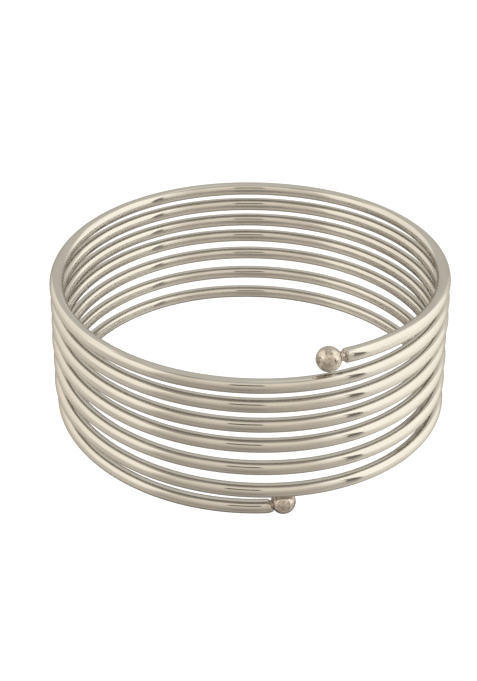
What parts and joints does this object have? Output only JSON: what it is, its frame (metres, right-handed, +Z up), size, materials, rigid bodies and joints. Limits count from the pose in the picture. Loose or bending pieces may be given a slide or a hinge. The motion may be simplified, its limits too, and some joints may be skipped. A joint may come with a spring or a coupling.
{
  "type": "spring coil bangle",
  "caption": "Open spring coil of round polished wire worn round the wrist, with a small ball on the neck at each end.",
  "frame": {"origin": "on the surface that the bangle rests on, at the middle of the coil", "axes": "+Z up along the coil's axis, -Y towards the side where the two ends are, +X to the right seen from there"},
  "size_m": [0.0672, 0.0671, 0.03],
  "materials": {
    "wire": "polished warm nickel",
    "ball": "polished, slightly uneven warm nickel"
  },
  "bodies": {
    "root": {"coil": "wire", "upper_ball": "ball", "lower_ball": "ball"}
  },
  "joints": []
}
